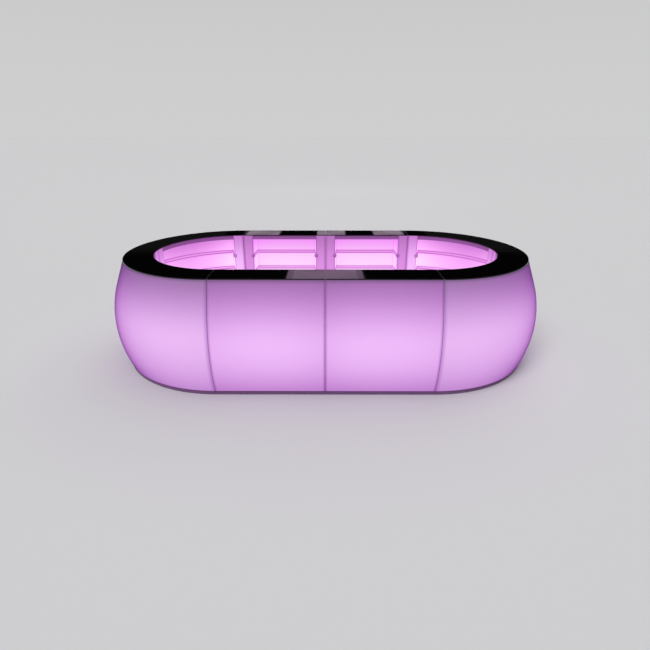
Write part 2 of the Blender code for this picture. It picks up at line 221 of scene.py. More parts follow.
class EffectLibrary:
    """The shared effects, each built once."""

    def __init__(self) -> None:
        """Build every group."""
        self.lamp_glow = self._lamp_glow()
        self.grain = self._grain()
        self.wear = self._wear()

    @staticmethod
    def _lamp_glow() -> EffectGroup:
        """Painted glow of the lamp inside, falling off above, below and beside it, with painted shade
        at the seams, the pillars' edges, the top edge and the ledges.

        Returns:
            Group with a Level output.
        """
        group = EffectGroup("lamp_glow", {
            "Lamp Height": 0.49, "Reach Up": 0.44, "Reach Down": 0.47, "Side Fall": 0.14,
            "Seam Level": 1.0, "Seam Width": 0.028, "Line Place": 0.118, "Line Level": 1.0,
            "Line Width": 0.016, "Top Edge": 1.09, "Top Level": 1.0, "Top Width": 0.03,
            "Ledge Low": 0.63, "Ledge High": 0.84, "Ledge Core": 0.006, "Ledge Blend": 0.010,
            "Ledge Level": 1.0, "Cloud": 0.05, "Cloud Scale": 2.2,
        })
        graph, given = group.graph, group.given
        height = graph.height()
        above = graph.math("SUBTRACT", height, given["Lamp Height"])
        is_above = graph.math("GREATER_THAN", above, 0.0)
        reach = graph.blend(is_above, given["Reach Down"], given["Reach Up"])
        ratio = graph.math("DIVIDE", above, reach)
        upright = graph.math("EXPONENT", graph.times(ratio, ratio, -1.0))
        half = graph.attribute("half")
        along = graph.math("ABSOLUTE", graph.attribute("along"))
        run = graph.math("DIVIDE", along, half)
        sideways = graph.math("SUBTRACT", 1.0, graph.times(run, run, given["Side Fall"]))
        to_seam = graph.math("SUBTRACT", half, along)
        # Painted shade: the glow dims near the seams, along a line at the pillars' edges and just
        # under the top edge.
        shade_lines = {
            "Seam": to_seam, "Line": graph.gap(to_seam, given["Line Place"]),
            "Top": graph.math("SUBTRACT", given["Top Edge"], height)}
        painted_shades = [graph.between(distance, 0.0, given[kind + " Width"], given[kind + " Level"], 1.0)
                  for kind, distance in shade_lines.items()]
        # Painted shade: a darker line along each ledge.
        to_ledges = [graph.gap(height, given[label]) for label in ("Ledge Low", "Ledge High")]
        core_edge = graph.math("ADD", given["Ledge Core"], given["Ledge Blend"])
        ledge = graph.between(graph.math("MINIMUM", *to_ledges), given["Ledge Core"], core_edge,
                              1.0, given["Ledge Level"])
        cloud = graph.math("SUBTRACT", graph.noise(graph.place(), given["Cloud Scale"], 2.0), 0.5)
        cloudy = graph.math("MULTIPLY_ADD", cloud, given["Cloud"], 1.0)
        return group.closed({"Level": graph.times(upright, sideways, *painted_shades, ledge, cloudy)})

    @staticmethod
    def _grain() -> EffectGroup:
        """Fine unevenness of a surface, with a broad and a fine part.

        Returns:
            Group with a Height and a Roughness output.
        """
        group = EffectGroup("surface_grain", {
            "Fine Scale": 400.0, "Broad Scale": 12.0, "Roughness Low": 0.3,
            "Roughness High": 0.5, "Fine Share": 0.4, "Broad Low": 0.3, "Broad High": 0.7,
        })
        graph, given = group.graph, group.given
        fine = graph.noise(graph.place(), given["Fine Scale"], 3.0)
        broad = graph.noise(graph.place(), given["Broad Scale"], 4.0)
        return group.closed({
            "Height": graph.blend(given["Fine Share"], broad, fine),
            "Roughness": graph.between(broad, given["Broad Low"], given["Broad High"],
                                       given["Roughness Low"], given["Roughness High"])})

    @staticmethod
    def _wear() -> EffectGroup:
        """Rubbed spots and scuffs that thin out with height.

        Returns:
            Group with a Mask output.
        """
        group = EffectGroup("scuffs", {
            "Scale": 30.0, "Low Edge": 0.0, "High Edge": 0.3, "Amount": 0.5, "Spread": 0.5,
            "Full Spot": 0.8,
        })
        graph, given = group.graph, group.given
        low = graph.between(graph.height(), given["Low Edge"], given["High Edge"], 1.0, 0.0)
        pattern = graph.noise(graph.place(), given["Scale"], 8.0)
        spots = graph.between(pattern, given["Spread"], given["Full Spot"])
        return group.closed({"Mask": graph.times(spots, low, given["Amount"])})


def principled(name: str) -> tuple[Material, Graph, bpy.types.Node]:
    """Start a material.

    Args:
        name: Name of the material.

    Returns:
        The material, its graph and its Principled shader.
    """
    material = bpy.data.materials.new(name)
    material.use_nodes = True
    return material, Graph(material.node_tree), material.node_tree.nodes["Principled BSDF"]


@dataclass(frozen=True)
class Finish:
    """Named material with a Principled shader and a fine grain.

    Attributes:
        scales: Waves per metre of the fine and of the broad grain.
        fine_share: Share of the fine grain in the bumps.
        bump: Strength and height of the bumps.
        roughness: Lowest and highest roughness.
    """

    name: str
    _: KW_ONLY
    scales: Pair = (1500.0, 25.0)
    fine_share: float = 0.4
    bump: Pair = (0.25, 0.0005)
    roughness: Pair = (0.42, 0.58)

    def looks(self, graph: Graph, effects: EffectLibrary,
              grain: Outputs) -> dict[str, object]:
        """Inputs of the shader beyond its grain, by name."""
        raise NotImplementedError

    def material(self, effects: EffectLibrary) -> Material:
        """Build the material.

        Args:
            effects: Shared effects.

        Returns:
            The material.
        """
        material, graph, shader = principled(self.name)
        grain = effects.grain.placed(graph, {
            "Roughness Low": self.roughness[0], "Roughness High": self.roughness[1],
            "Fine Scale": self.scales[0], "Broad Scale": self.scales[1],
            "Fine Share": self.fine_share})
        bump = graph.node("ShaderNodeBump", {
            "Strength": self.bump[0], "Distance": self.bump[1], "Height": grain["Height"]})
        graph.fill(shader, {
            "Roughness": grain["Roughness"], "Normal": bump.outputs["Normal"],
            **self.looks(graph, effects, grain)})
        return material


@dataclass(frozen=True)
class GlowFinish(Finish):
    """Translucent moulded plastic, with the light of the lamp inside painted into its emission.

    Attributes:
        bright: Glow right in front of the lamp.
        glow: Inputs of the lamp glow group that differ from their defaults.
        fall: Powers by which red, green and blue follow the level.
        film: Colour that the clear outer film lets straight through, if there is one.
        corner_level: Share of the glow that is left in an inner corner, where shade is painted.
        corner_reach: Width of the dimmed corner.
        skin: Colour that the plastic reflects.
        dust: Share of that colour that is left where the plastic is scuffed.
        open_sky: Shares of open surroundings in the darkest corner and in the open.
    """

    COAT: ClassVar[dict[str, float]] = {
        "Coat Weight": 1.0, "Coat IOR": 1.005, "Coat Roughness": 0.5}

    bright: Colour
    glow: dict[str, float] = field(default_factory=dict)
    fall: Colour = (0.60, 1.0, 0.52)
    film: Colour | None = None
    corner_level: float = 0.5
    corner_reach: float = 0.03
    skin: Colour = (0.10, 0.055, 0.12)
    dust: float = 0.6
    open_sky: Pair = (0.3, 1.0)
    _: KW_ONLY
    scales: Pair = (700.0, 7.0)
    bump: Pair = (0.15, 0.002)
    roughness: Pair = (0.4, 0.55)

    def looks(self, graph: Graph, effects: EffectLibrary,
              grain: Outputs) -> dict[str, object]:
        """Painted light that falls off from the lamp, on milky plastic with a clear film.

        Args:
            graph: Graph of the material.
            effects: Shared effects.
            grain: Outputs of the grain group; not used here.

        Returns:
            Value or output socket by input name.
        """
        # Painted shade: ambient occlusion dims the painted glow in inner corners.
        nearby = graph.node(
            "ShaderNodeAmbientOcclusion", {"Distance": self.corner_reach}, samples=8).outputs["AO"]
        corner = graph.between(nearby, *self.open_sky, self.corner_level, 1.0)
        level = graph.times(effects.lamp_glow.placed(graph, self.glow)["Level"], corner)
        light = graph.node("ShaderNodeCombineColor", {
            channel: graph.times(bright, graph.math("POWER", level, power))
            for channel, (bright, power) in enumerate(zip(self.bright, self.fall))})
        scuffs = effects.wear.placed(graph, {"Scale": 14.0, "High Edge": 0.4, "Amount": 0.5})
        dusty = tuple(self.dust * channel for channel in self.skin)
        # Painted shade: the film's tint dims the painted glow, more where the surface is seen at a
        # slant, which darkens the shell towards its outline.
        film = {**self.COAT, "Coat Tint": (*self.film, 1.0)} if self.film else {}
        return {
            "Base Color": graph.mix(scuffs["Mask"], self.skin, dusty),
            "Emission Color": light.outputs[0], "Emission Strength": 1.0,
            "Specular IOR Level": 0.2, **film}


@dataclass(frozen=True)
class LaminateFinish(Finish):
    """Polished black laminate with faint smears and hairline scratches."""

    STROKES: ClassVar[dict[str, tuple]] = {"Scale": (3.0, 90.0, 3.0), "Rotation": (0.0, 0.0, 0.5)}

    colour: Colour = (0.0010, 0.0009, 0.0011)
    scratch: Colour = (0.012, 0.012, 0.013)
    scratch_waves: float = 5.0
    scratch_edges: Pair = (0.68, 0.74)
    scratch_share: float = 0.3
    dullness: float = 0.08
    _: KW_ONLY
    scales: Pair = (500.0, 4.0)
    fine_share: float = 0.1
    bump: Pair = (0.01, 0.001)
    roughness: Pair = (0.03, 0.07)

    def looks(self, graph: Graph, effects: EffectLibrary,
              grain: Outputs) -> dict[str, object]:
        """Black, with scratches that are paler and duller.

        Args:
            graph: Graph of the material.
            effects: Shared effects; not used here.
            grain: Outputs of the grain group.

        Returns:
            Value or output socket by input name.
        """
        strokes = graph.node("ShaderNodeMapping", {"Vector": graph.place(), **self.STROKES})
        lines = graph.noise(strokes.outputs[0], self.scratch_waves, 5.0)
        scratches = graph.between(lines, *self.scratch_edges)
        share = graph.times(scratches, self.scratch_share)
        return {
            "Base Color": graph.mix(share, self.colour, self.scratch),
            "Roughness": graph.math("MULTIPLY_ADD", scratches, self.dullness, grain["Roughness"]),
            "Specular IOR Level": 0.4}


@dataclass(frozen=True)
class WornFinish(Finish):
    """Coated, plated or moulded surface with grain and with scuffs near the floor.

    Attributes:
        colour: Colour of the clean surface.
        scuffed: Colour where it is rubbed.
        metallic: Share of bare metal.
        scuff_top: Height at which the scuffs end.
    """

    colour: Colour
    scuffed: Colour
    metallic: float = 0.0
    scuff_top: float = 0.05

    def looks(self, graph: Graph, effects: EffectLibrary,
              grain: Outputs) -> dict[str, object]:
        """Clean colour with rubbed spots."""
        scuffs = effects.wear.placed(graph, {
            "Scale": 60.0, "High Edge": self.scuff_top, "Amount": 0.7})
        return {"Base Color": graph.mix(scuffs["Mask"], self.colour, self.scuffed),
                "Metallic": self.metallic}


@dataclass(frozen=True)
class OpalFinish(Finish):
    """Opal cover of a lamp, brightest along its middle.

    Attributes:
        bright: Glow at the middle of the cover.
        low: Height of the cover's foot.
        high: Height of its top.
        end_level: Share of the glow at both ends.
        end_share: Share of the height over which the ends dim.
        milk: The two colours of the cloudy cover.
        cloud: How much the cover's grain changes the light, and the level without grain.
    """

    bright: Colour
    low: float
    high: float
    end_level: float = 0.45
    end_share: float = 1 / 6
    milk: tuple[Colour, Colour] = ((0.40, 0.37, 0.44), (0.48, 0.45, 0.52))
    cloud: Pair = (0.1, 0.95)
    _: KW_ONLY
    scales: Pair = (900.0, 20.0)
    bump: Pair = (0.1, 0.0005)
    roughness: Pair = (0.30, 0.45)

    def looks(self, graph: Graph, effects: EffectLibrary,
              grain: Outputs) -> dict[str, object]:
        """Even light that dims towards both ends.

        Args:
            graph: Graph of the material.
            effects: Shared effects; not used here.
            grain: Outputs of the grain group.

        Returns:
            Value or output socket by input name.
        """
        ramp = (self.high - self.low) * self.end_share
        height = graph.height()
        rise = graph.between(height, self.low, self.low + ramp, self.end_level, 1.0)
        drop = graph.between(height, self.high - ramp, self.high, 1.0, self.end_level)
        cloudy = graph.math("MULTIPLY_ADD", grain["Height"], *self.cloud)
        light = graph.mix(graph.times(rise, drop, cloudy), BLACK, self.bright)
        return {"Base Color": graph.mix(grain["Height"], *self.milk),
                "Emission Color": light, "Emission Strength": 1.0}


@dataclass(frozen=True)
class RingSizes:
    """Sizes of the counter, read from the frame.

    Heights run from the floor. Depths, and names that end in out, run from the service face.

    Attributes:
        straight: Length of a straight module.
        radius: Radius of the service face in a quarter module.
        belly: Greatest reach of the shell beyond the counter top.
        hatch_radius: Radius of the lamp's plate.
        foot_inset: Distance of the feet from the module's far end.
        seam: Half of the gap between two shells.
        panel_seam: Half of the gap between two counter tops, and a little more.
    """

    straight: float
    radius: float
    height: float
    depth: float
    belly: float
    shell_bottom: float
    shell_top: float
    panel_bottom: float
    base_depth: float
    base_top: float
    lamp_out: float
    hatch_radius: float
    foot_out: Pair
    foot_inset: float
    bolt_out: float
    seam: float = 0.001
    panel_seam: float = 0.002

    @classmethod
    def from_frame(cls) -> "RingSizes":
        """Read the sizes from the boxes of the front left module's nodes.

        Returns:
            The sizes.
        """
        shell_low, shell_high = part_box("shell_front_left")
        top_low, top_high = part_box("top_front_left")
        base_low, base_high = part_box("base_front_left")
        lamp_low, lamp_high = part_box("lamp_front_left")
        bolt_low, bolt_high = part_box("bolt_front_left")
        feet = [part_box(f"foot_front_left_{side}") for side in ("inner", "outer")]
        radius = -top_high.y
        foot_low, foot_high = feet[0]
        return cls(
            straight=shell_high.x - shell_low.x + 2 * cls.seam,
            radius=radius,
            height=top_high.z,
            depth=top_high.y - top_low.y,
            belly=top_low.y - shell_low.y,
            shell_bottom=shell_low.z,
            shell_top=shell_high.z,
            panel_bottom=top_low.z,
            base_depth=-base_low.y - radius,
            base_top=base_high.z,
            lamp_out=-(lamp_low.y + lamp_high.y) / 2 - radius,
            hatch_radius=(lamp_high.x - lamp_low.x) / 2,
            foot_out=tuple(-(low.y + high.y) / 2 - radius for low, high in feet),
            foot_inset=(foot_low.x + foot_high.x) / 2 - shell_low.x + cls.seam,
            bolt_out=-(bolt_low.y + bolt_high.y) / 2 - radius,
        )


@dataclass(frozen=True)
class Module:
    """One module of the ring.

    Attributes:
        name: Name that the CAD nodes of the module share.
        curved: Whether the module is a quarter turn.
        facing: Direction angle of the guest side at the module's middle.
        origin: Middle of the service face, or centre of the quarter turn.
        half: Half of the module's length along its service face.
        radius: Radius of the service face in a quarter turn.
    """

    name: str
    curved: bool
    facing: float
    origin: Pair
    half: float
    radius: float

    def squeeze(self, out: float) -> float:
        """Scale along the module that keeps a round form round at a depth."""
        return self.radius / (self.radius + out) if self.curved else 1.0


def ring_modules(sizes: RingSizes) -> list[Module]:
    """The modules of the ring.

    Args:
        sizes: Sizes of the counter.

    Returns:
        Four straight and four quarter-turn modules.
    """
    modules = []
    arc_half = sizes.radius * QUARTER_TURN / 2
    for side, left_right in ((-1, "left"), (1, "right")):
        for row, front_back in ((-1, "front"), (1, "back")):
            name = f"{front_back}_{left_right}"
            middle = (side * sizes.straight / 2, row * sizes.radius)
            centre = (side * sizes.straight, 0.0)
            modules += [
                Module(name, False, row * QUARTER_TURN, middle, sizes.straight / 2, sizes.radius),
                Module("corner_" + name, True, math.atan2(row, side), centre, arc_half,
                       sizes.radius)]
    return modules


def added(name: str, data: bpy.types.ID) -> bpy.types.Object:
    """Put a datablock into the scene.

    Args:
        name: Name of the object.
        data: Mesh, light or camera.

    Returns:
        The new object.
    """
    thing = bpy.data.objects.new(name, data)
    bpy.context.scene.collection.objects.link(thing)
    return thing


def evaluated(work: bpy.types.Object) -> Mesh:
    """Plain mesh of what an object's modifiers make."""
    graph = bpy.context.evaluated_depsgraph_get()
    return bpy.data.meshes.new_from_object(work.evaluated_get(graph))


def smooth(mesh: Mesh) -> None:
    """Shade a mesh smooth, with its sharp edges kept."""
    mesh.shade_smooth()
    mesh.set_sharp_from_angle(angle=SHARP_ANGLE)


class PathLayer:
    """Geometry nodes tree that lays a straight-made form along a module's path.

    A length near the module's ends is kept at every depth, so that end walls and seams stay
    as thick at the guest side as at the service side.
    """

    END_ZONE = 0.028
    INPUTS = {
        "Geometry": "Geometry", "Quarter Turn": "Bool", "Radius": "Float",
        "Half Length": "Float", "End Zone": "Float", "Facing": "Float", "Origin": "Vector",
        **{region.name.title(): "Material" for region in Region},
    }

    def __init__(self) -> None:
        """Build the tree once for all pieces."""
        self.tree = bpy.data.node_groups.new("lay_along_path", "GeometryNodeTree")
        face = self.tree.interface
        face.new_socket("Geometry", in_out="OUTPUT", socket_type="NodeSocketGeometry")
        self.sockets = {
            label: face.new_socket(label, in_out="INPUT", socket_type="NodeSocket" + kind).identifier
            for label, kind in self.INPUTS.items()}
        graph = Graph(self.tree)
        given = graph.node("NodeGroupInput").outputs
        position = graph.node("GeometryNodeInputPosition").outputs[0]
        along, out, height = graph.node("ShaderNodeSeparateXYZ", {0: position}).outputs
        place = self._path(graph, given, along, out, height)
        geometry = given["Geometry"]
        for label, value in (("along", along), ("half", given["Half Length"])):
            geometry = graph.node("GeometryNodeStoreNamedAttribute", {
                "Geometry": geometry, "Name": label, "Value": value}).outputs[0]
        geometry = graph.node("GeometryNodeSetPosition", {0: geometry, 2: place}).outputs[0]
        geometry = graph.node("GeometryNodeRealizeInstances", {0: geometry}).outputs[0]
        number = graph.node(
            "GeometryNodeInputNamedAttribute", {"Name": "region"}, data_type="INT").outputs[0]
        for region in Region:
            same = graph.node("FunctionNodeCompare", {2: number, 3: region.value},
                              data_type="INT", operation="EQUAL").outputs[0]
            geometry = graph.node("GeometryNodeSetMaterial", {
                0: geometry, 1: same, 2: given[region.name.title()]}).outputs[0]
        graph.node("NodeGroupOutput", {0: geometry})

    @staticmethod
    def _path(graph: Graph, given: Outputs, along: Socket, out: Socket,
              height: Socket) -> Socket:
        """Place of a point of the straight form once it is laid.

        Args:
            graph: Graph of the tree.
            given: Outputs of the tree's input node.
            along: Distance from the module's middle.
            out: Distance from the service face.
            height: Height above the floor.

        Returns:
            The place.
        """
        radius = graph.math("ADD", given["Radius"], out)
        distance = graph.math("ABSOLUTE", along)
        to_end = graph.math("SUBTRACT", given["Half Length"], distance)
        near_end = graph.math("SUBTRACT", QUARTER_TURN / 2, graph.math("DIVIDE", to_end, radius))
        plain = graph.math("DIVIDE", distance, given["Radius"])
        in_zone = graph.math("LESS_THAN", to_end, given["End Zone"])
        turn = graph.times(graph.blend(in_zone, plain, near_end), graph.math("SIGN", along))
        angle = graph.math("SUBTRACT", given["Facing"], turn)
        bent = graph.node("ShaderNodeCombineXYZ", {
            0: graph.times(radius, graph.math("COSINE", angle)),
            1: graph.times(radius, graph.math("SINE", angle)), 2: height}).outputs[0]
        cosine = graph.math("COSINE", given["Facing"])
        sine = graph.math("SINE", given["Facing"])
        straight = graph.node("ShaderNodeCombineXYZ", {
            0: graph.math("ADD", graph.times(along, sine), graph.times(out, cosine)),
            1: graph.math("SUBTRACT", graph.times(out, sine), graph.times(along, cosine)),
            2: height}).outputs[0]
        chosen = graph.node("GeometryNodeSwitch", {
            "Switch": given["Quarter Turn"], "False": straight, "True": bent,
        }, input_type="VECTOR").outputs[0]
        return graph.node("ShaderNodeVectorMath", {0: chosen, 1: given["Origin"]}).outputs[0]

    def laid(self, name: str, straight: Mesh, module: Module,
             finishes: dict[Region, Material]) -> bpy.types.Object:
        """Lay a straight-made mesh along a module's path.

        Args:
            name: Name of the finished piece.
            straight: Mesh of the straight form. Its faces may hold a region number.
            module: Module that the piece belongs to.
            finishes: Material of each region. A form without regions takes the first one.

        Returns:
            The finished piece, as a plain mesh at the origin.
        """
        first = next(iter(finishes.values()))
        smooth(straight)
        straight.materials.append(first)
        work = added("work", straight)
        path = work.modifiers.new("path", "NODES")
        path.node_group = self.tree
        values = {
            "Quarter Turn": module.curved, "Radius": module.radius, "Half Length": module.half,
            "End Zone": self.END_ZONE, "Facing": module.facing, "Origin": (*module.origin, 0.0),
            **{region.name.title(): finishes.get(region, first) for region in Region},
        }
        for label, value in values.items():
            path[self.sockets[label]] = value
        work.modifiers.new("shading", "WEIGHTED_NORMAL").keep_sharp = True
        mesh = evaluated(work)
        bpy.data.objects.remove(work)
        mesh.name = name
        return added(name, mesh)


def mesh_from(bm: bmesh.types.BMesh) -> Mesh:
    """Mesh of a closed form, with its faces pointing out.

    Args:
        bm: The form, which is freed.

    Returns:
        The mesh.
    """
    bmesh.ops.recalc_face_normals(bm, faces=bm.faces)
    mesh = bpy.data.meshes.new("form")
    bm.to_mesh(mesh)
    bm.free()
    return mesh


def skinned(loops: list[list[tuple]], place: Matrix) -> Mesh:
    """Solid whose skin runs over loops of points and is closed by both end loops.

    Args:
        loops: Points of each loop, from one end to the other.
        place: Place of the solid.

    Returns:
        The closed mesh.
    """
    bm = bmesh.new()
    rings = [[bm.verts.new(point) for point in loop] for loop in loops]
    for near, far in zip(rings, rings[1:]):
        for this in range(len(near)):
            after = (this + 1) % len(near)
            bm.faces.new((near[this], near[after], far[after], far[this]))
    bm.faces.new(rings[0])
    bm.faces.new(rings[-1])
    bmesh.ops.transform(bm, matrix=place, verts=bm.verts)
    return mesh_from(bm)


def extruded(outline: list[tuple], travel: tuple) -> Mesh:
    """Solid with a flat outline carried along a vector."""
    return skinned([outline, [Vector(point) + Vector(travel) for point in outline]], Matrix())


def block(low: tuple, high: tuple) -> Mesh:
    """Box between its lowest and its highest corner."""
    (x0, y0, z0), (x1, y1, z1) = low, high
    return extruded([(x0, y0, z0), (x1, y0, z0), (x1, y1, z0), (x0, y1, z0)], (0.0, 0.0, z1 - z0))


def turned(profile: list[Pair], sides: int, place: Matrix) -> Mesh:
    """Solid of revolution from the radius and height of its rings, with its axis on Z at first."""
    turns = [2 * math.pi * side / sides for side in range(sides)]
    return skinned([[(radius * math.cos(turn), radius * math.sin(turn), height)
                     for turn in turns] for radius, height in profile], place)


def post(module: Module, along: float, out: float, radius: float, low: float,
         high: float) -> Mesh:
    """Upright cylinder in a straight-made form, which is round once it is laid."""
    place = Matrix.Translation((along, out, 0.0)) @ Matrix.Diagonal((module.squeeze(out), 1, 1, 1))
    return turned([(radius, low), (radius, high)], POST_SIDES, place)


def thread(radius: float, depth: float, pitch: float, start: float, turns: int) -> list[Pair]:
    """Rings of a thread, for the profile of a solid of revolution."""
    levels = [start + (turn + 0.5) * pitch for turn in range(turns)]
    return [ring for level in levels
            for ring in ((radius - depth, level), (radius, level + pitch / 2))]


def around(count: int, reach: float) -> list[Matrix]:
    """Places of copies on a circle round the Z axis."""
    return [Matrix.Rotation(2 * math.pi * index / count, 4, "Z")
            @ Matrix.Translation((reach, 0.0, 0.0)) for index in range(count)]


def carved(solid: Mesh, steps: list[tuple[str, Mesh]],
           rounding: float = 0.0) -> Mesh:
    """Mesh of a solid after Boolean steps and rounded edges.

    Args:
        solid: Mesh to start from.
        steps: Operation and tool mesh of each step.
        rounding: Radius of the edges' rounding, if any.

    Returns:
        The resulting mesh.
    """
    work = added("work", solid)
    helpers = [work]
    for operation, tool in steps:
        helper = added("tool", tool)
        helpers.append(helper)
        modifier = work.modifiers.new(operation.lower(), "BOOLEAN")
        modifier.operation = operation
        modifier.object = helper
        modifier.solver = "EXACT"
    if rounding:
        modifier = work.modifiers.new("rounding", "BEVEL")
        modifier.width = rounding
        modifier.segments = ROUNDING_FLATS
        modifier.limit_method = "ANGLE"
        modifier.angle_limit = SHARP_ANGLE
    result = evaluated(work)
    for helper in helpers:
        bpy.data.objects.remove(helper)
    return result


@dataclass
class ModulePart:
    """Piece of one module that is made straight and then laid along the module's path.

    Attributes:
        stem: Start of the finished piece's name.
        node: Start of the name of the CAD node that it stands for.
        slot: Slot of the record that its finish belongs to.
        edge: Radius of the rounded edges.
        bend_steps: Number of short lengths in a quarter turn.
        overcut: How far a cutting form reaches beyond what it cuts.
    """

    sizes: RingSizes
    module: Module
    stem: str = ""
    node: str = ""
    slot: str = ""
    edge: float = 0.001
    bend_steps: int = 48
    overcut: float = 0.03

    def straight(self) -> Mesh:
        """Straight form of the piece."""
        raise NotImplementedError

    def mark(self, straight: Mesh) -> None:
        """Number the regions of a straight form that has more than one."""

    def sliced(self) -> Mesh:
        """Cut the straight form across its length, so that it can bend.

        Returns:
            The straight form.
        """
        straight = self.straight()
        bm = bmesh.new()
        bm.from_mesh(straight)
        bmesh.ops.remove_doubles(bm, verts=bm.verts, dist=MERGE_DISTANCE)
        bmesh.ops.dissolve_degenerate(bm, edges=bm.edges, dist=MERGE_DISTANCE)
        for step in range(1, self.bend_steps if self.module.curved else 1):
            along = (2 * step / self.bend_steps - 1) * self.module.half
            bmesh.ops.bisect_plane(
                bm, geom=bm.verts[:] + bm.edges[:] + bm.faces[:], dist=CUT_TOLERANCE,
                plane_co=(along, 0.0, 0.0), plane_no=(1.0, 0.0, 0.0))
        bmesh.ops.triangulate(bm, faces=[face for face in bm.faces if len(face.verts) > 4])
        bm.to_mesh(straight)
        bm.free()
        return straight

    def make(self, layer: PathLayer, finishes: dict[Region, Material]) -> Piece:
        """Build the piece and let it stand for its CAD node.

        Args:
            layer: Tree that lays forms along the module's path.
            finishes: Material of each region.

        Returns:
            The piece with its slot and with the body that it rides on.
        """
        straight = self.sliced()
        self.mark(straight)
        piece = layer.laid(self.stem + self.module.name, straight, self.module, finishes)
        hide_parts(self.node + self.module.name)
        return piece, self.slot, BODY


@dataclass
class MouldedShell(ModulePart):
    """Glowing moulding of one module, with its recess, ledges, pillars and lamp hatch."""

    DOME: ClassVar[tuple[Pair, ...]] = (
        (1.0, 0.35), (0.94, 0.62), (0.80, 0.82), (0.55, 0.95), (0.25, 1.0))

    stem: str = "moulded_shell_"
    node: str = "shell_"
    slot: str = "glowing_shell"
    edge: float = 0.004
    bend_steps: int = 30
    wall: float = 0.006
    belly_height: float = 0.455
    straight_top: float = 0.254
    barrel_steps: int = 28
    pillar: float = 0.118
    recess_depth: float = 0.24
    recess_bottom: float = 0.12
    recess_top: float = 1.041
    draft: float = math.radians(4.6)
    band_depth: float = 0.015
    ledge_heights: Pair = (0.63, 0.84)
    ledge_tall: float = 0.040
    ledge_proud: float = 0.014
    ledge_start: float = 0.006
    ledge_steps: int = 10
    knob_radius: float = 0.022
    knob_core: float = 0.013
    knob_proud: float = 0.009
    knob_shift: float = 0.004
    knob_seat: float = 0.0045
    knob_sides: int = 24
    hatch_lip: float = 0.007
    hair: float = 0.0002

    @property
    def opening(self) -> float:
        """Half of the recess's width at its mouth."""
        return self.module.half - self.pillar

    @property
    def slope(self) -> float:
        """How much the recess narrows for each metre of its depth."""
        return math.tan(self.draft)

    def body(self, inset: float) -> Mesh:
        """Outer form of the moulding, or the space inside it.

        Across the counter it is a barrel arc that runs into a straight stretch.

        Args:
            inset: Distance inside the outer surface.

        Returns:
            The closed mesh.
        """
        sizes, steps = self.sizes, self.barrel_steps
        rise = sizes.shell_top - self.belly_height
        radius = (rise ** 2 + sizes.belly ** 2 - self.straight_top ** 2) / (2 * sizes.belly)
        centre = sizes.depth + sizes.belly - radius
        upper = math.atan2(rise, radius - sizes.belly) - math.atan2(self.straight_top, radius)
        radius -= inset
        bottom, top = sizes.shell_bottom + inset, sizes.shell_top - inset
        lower = math.asin((bottom - self.belly_height) / radius)
        angles = [upper + (lower - upper) * step / steps for step in range(steps + 1)]
        arc = [(centre + radius * math.cos(angle), self.belly_height + radius * math.sin(angle))
               for angle in angles]
        top_out = arc[0][0] - (top - arc[0][1]) * math.tan(upper)
        end = self.module.half - sizes.seam - inset
        outline = [(-end, out, height) for out, height in (
            (inset, bottom), (inset, top), (top_out, top), *arc)]
        return extruded(outline, (2 * end, 0.0, 0.0))

    def pocket(self, grown: float) -> Mesh:
        """Space of the recess and of the shallow set-back above it, narrower at the back.

        Args:
            grown: How much larger it is on the lamp's side.

        Returns:
            The closed mesh.
        """
        slope = self.slope
        near, back, band = -self.overcut, self.recess_depth + grown, self.band_depth + grown
        low, high = self.recess_bottom - grown, self.recess_top + grown
        open_top = self.sizes.shell_top + self.overcut
        profile = [(near, low + near * slope), (back, low + back * slope),
                   (back, high - back * slope), (band, high - band * slope),
                   (band, open_top), (near, open_top)]
        return skinned([[(side * (self.opening + grown - out * slope), out, height)
                         for out, height in profile] for side in (-1, 1)], Matrix())

    def ledge_section(self, wall: float, height: float) -> list[Pair]:
        """Rounded section of a ledge on a wall.

        Args:
            wall: Distance of the wall that the ledge stands on.
            height: Height of the ledge's middle.

        Returns:
            Distance and height of each point.
        """
        half, back = self.ledge_tall / 2, wall + self.wall / 2
        angles = [math.pi * (step / self.ledge_steps - 0.5) for step in range(self.ledge_steps + 1)]
        return [*((wall - self.ledge_proud * math.cos(angle), height + half * math.sin(angle))
                  for angle in angles), (back, height + half), (back, height - half)]

    def ledges(self, height: float) -> list[Mesh]:
        """Ledges along the back wall and both side walls.

        Args:
            height: Height of the ledges' middle.

        Returns:
            One closed mesh for each wall.
        """
        half = self.opening - self.recess_depth * self.slope + self.wall / 2
        back = [(-half, out, level) for out, level in self.ledge_section(self.recess_depth, height)]
        forms = [extruded(back, (2 * half, 0.0, 0.0))]
        start = self.ledge_start
        reach = self.recess_depth + self.wall / 2 - start
        section = self.ledge_section(self.opening - start * self.slope, height)
        for side in (-1, 1):
            outline = [(side * along, start, level) for along, level in section]
            forms.append(extruded(outline, (-side * reach * self.slope, reach, 0.0)))
        return forms

    def knobs(self) -> list[Mesh]:
        """Round, domed ends of the ledges on the pillars.

        Returns:
            One closed mesh for each end.
        """
        profile = [(self.knob_radius, -self.knob_seat)] + [
            (share * self.knob_radius, rise * self.knob_proud) for share, rise in self.DOME]
        edge = self.opening + self.knob_shift
        turn = Matrix.Rotation(QUARTER_TURN, 4, "X")
        return [turned(profile, self.knob_sides,
                       Matrix.Translation((side * edge, 0.0, height)) @ turn)
                for height in self.ledge_heights for side in (-1, 1)]

